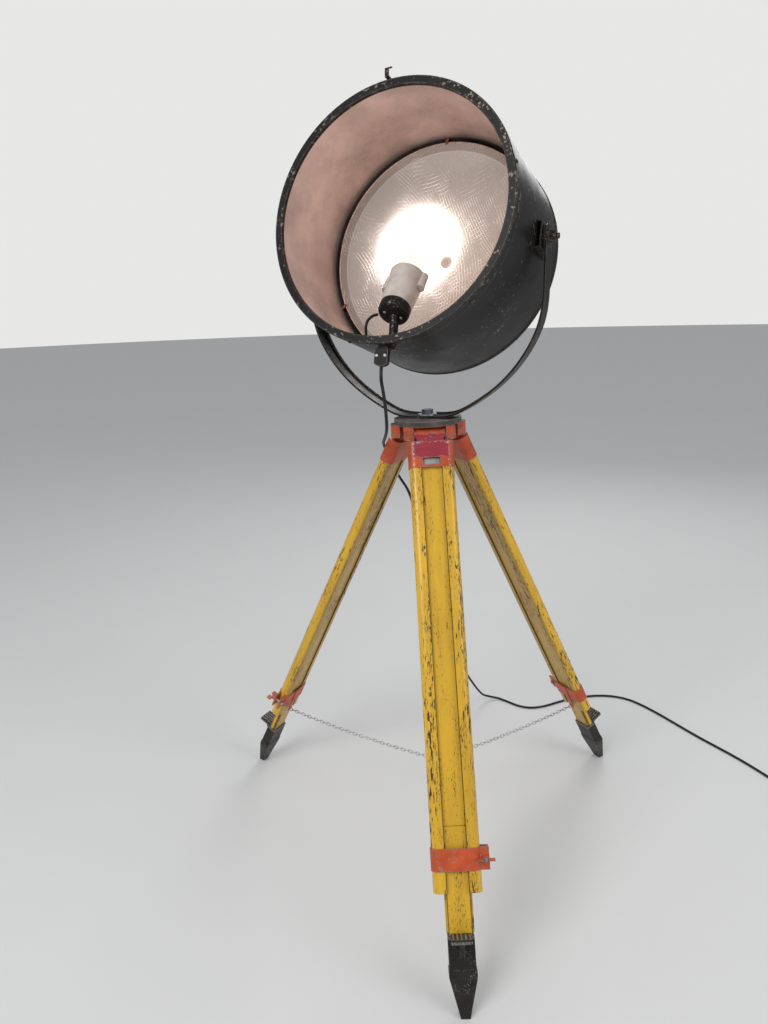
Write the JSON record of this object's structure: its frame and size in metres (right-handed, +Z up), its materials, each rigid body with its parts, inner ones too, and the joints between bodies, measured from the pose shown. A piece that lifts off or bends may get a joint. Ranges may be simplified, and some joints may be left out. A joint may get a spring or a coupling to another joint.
{
  "type": "tripod spotlight floor lamp",
  "caption": "Tripod floor lamp: a tilting drum spotlight with a mirror and lampholder in a panning yoke, on folding legs with sliding boards, clamps, iron points and spreader chains.",
  "frame": {"origin": "on the floor under the middle of the lamp's box, its mains cord left out", "axes": "+Z up; the front leg points along -Y, towards the camera; +X to the right"},
  "size_m": [1.6374, 1.235, 1.8276],
  "materials": {
    "yellow_wood": "chrome-yellow gloss paint on wood, chipped along its edges",
    "orange_paint": "orange enamel on castings and straps, worn to grey metal on its edges",
    "head_paint": "dark paint on the head casting, worn to grey-brown at its rim",
    "black_iron": "black cast iron, rough",
    "zinc_steel": "dull zinc-plated steel",
    "chain_steel": "bright steel chain",
    "black_paint": "black-brown enamel on sheet steel, rubbed and scratched",
    "mirror_metal": "polished spun aluminium with fine swirl scratches",
    "cap_paint": "dark brown pressed metal cap",
    "porcelain": "off-white porcelain, slightly dirty",
    "brass_cap": "brass",
    "lamp_glass": "clear glass lamp, lit",
    "black_rubber": "black rubber"
  },
  "bodies": {
    "stand": {"head_casting": "head_paint", "bearing_caps": "orange_paint", "cap_screws": "zinc_steel", "yoke_washer": "zinc_steel", "yoke_bolt": "zinc_steel", "front_hinge_shaft": "zinc_steel", "left_hinge_shaft": "zinc_steel", "right_hinge_shaft": "zinc_steel", "chain_ring": "chain_steel", "front_spreader_chain": "chain_steel", "left_spreader_chain": "chain_steel", "right_spreader_chain": "chain_steel", "cord_to_floor": "black_rubber", "cord_on_floor": "black_rubber", "cord_coil": "black_rubber", "cord_plug": "black_rubber"},
    "front_leg": {"front_leg_ferrule": "orange_paint", "front_rail_left": "yellow_wood", "front_rail_right": "yellow_wood", "front_clamp_band": "orange_paint", "front_clamp_bolt": "zinc_steel"},
    "front_lower_leg": {"front_sliding_board": "yellow_wood", "front_leg_shoe": "black_iron"},
    "front_wing": {"front_wing_nut": "zinc_steel"},
    "left_leg": {"left_leg_ferrule": "orange_paint", "left_rail_left": "yellow_wood", "left_rail_right": "yellow_wood", "left_clamp_band": "orange_paint", "left_clamp_bolt": "zinc_steel"},
    "left_lower_leg": {"left_sliding_board": "yellow_wood", "left_leg_shoe": "black_iron"},
    "left_wing": {"left_wing_nut": "zinc_steel"},
    "right_leg": {"right_leg_ferrule": "orange_paint", "right_rail_left": "yellow_wood", "right_rail_right": "yellow_wood", "right_clamp_band": "orange_paint", "right_clamp_bolt": "zinc_steel"},
    "right_lower_leg": {"right_sliding_board": "yellow_wood", "right_leg_shoe": "black_iron"},
    "right_wing": {"right_wing_nut": "zinc_steel"},
    "yoke": {"yoke": "black_paint", "cord_from_drum": "black_rubber"},
    "drum": {"drum_shell": "black_paint", "front_ring": "black_paint", "back_cover": "black_paint", "casing_screws": "black_paint", "pivot_brackets": "black_paint", "pivot_studs": "zinc_steel", "pivot_nuts_and_washers": "zinc_steel", "reflector": "mirror_metal", "reflector_clips": "zinc_steel", "lampholder_post": "black_paint", "lampholder_cap": "cap_paint", "lampholder_body": "porcelain", "lampholder_thread": "brass_cap", "lamp_base": "brass_cap", "lamp_bulb": "lamp_glass", "inner_lead": "black_rubber", "cable_clamp": "black_paint"},
    "latch": {"latch_hook": "black_paint"}
  },
  "joints": [
    {"name": "front_leg_fold", "type": "hinge", "parent": "stand", "child": "front_leg", "pos_m": [-0.00446, 0.08145, 1.0758], "axis": [0.9997, 0, 0.026], "range_deg": [0, 25.5], "deforming": ["front_spreader_chain"]},
    {"name": "front_leg_slide", "type": "slide", "parent": "front_leg", "child": "front_lower_leg", "axis": [0.0232, -0.4504, -0.8925], "range_m": [0, 0.6]},
    {"name": "front_wing_turn", "type": "hinge", "parent": "front_leg", "child": "front_wing", "pos_m": [0.0763, -0.34626, 0.27864], "axis": [-0.0117, -0.8928, 0.4503], "range_deg": [0, 540]},
    {"name": "left_leg_fold", "type": "hinge", "parent": "stand", "child": "left_leg", "pos_m": [-0.05561, 0.1701, 1.07374], "axis": [-0.5, -0.866, -0.0059], "range_deg": [0, 27.8], "deforming": ["left_spreader_chain"]},
    {"name": "left_leg_slide", "type": "slide", "parent": "left_leg", "child": "left_lower_leg", "axis": [-0.3915, 0.2321, -0.8904], "range_m": [0, 0.6]},
    {"name": "left_wing_turn", "type": "hinge", "parent": "left_leg", "child": "left_wing", "pos_m": [-0.45734, 0.3382, 0.2767], "axis": [-0.7725, 0.4429, 0.4551], "range_deg": [0, 540]},
    {"name": "right_leg_fold", "type": "hinge", "parent": "stand", "child": "right_leg", "pos_m": [0.04672, 0.1701, 1.0764], "axis": [-0.4996, 0.866, -0.0201], "range_deg": [0, 24.9], "deforming": ["right_spreader_chain"]},
    {"name": "right_leg_slide", "type": "slide", "parent": "right_leg", "child": "right_lower_leg", "axis": [0.3989, 0.2094, -0.8928], "range_m": [0, 0.6]},
    {"name": "right_wing_turn", "type": "hinge", "parent": "right_leg", "child": "right_wing", "pos_m": [0.39507, 0.42179, 0.27626], "axis": [0.7689, 0.4541, 0.4501], "range_deg": [0, 540]},
    {"name": "yoke_pan", "type": "hinge", "parent": "stand", "child": "yoke", "pos_m": [-0.00528, 0.14081, 1.1073], "axis": [-0.026, 0.0082, 0.9996], "range_deg": [-170, 170], "deforming": ["cord_to_floor"]},
    {"name": "drum_tilt", "type": "hinge", "parent": "yoke", "child": "drum", "pos_m": [-0.01504, 0.14389, 1.48256], "axis": [0.8969, -0.4415, 0.027], "range_deg": [-60, 85], "deforming": ["cord_from_drum"]},
    {"name": "latch_swing", "type": "hinge", "parent": "drum", "child": "latch", "pos_m": [-0.06962, 0.10093, 1.80194], "axis": [-0.9022, 0.4191, -0.102], "range_deg": [0, 75]}
  ]
}
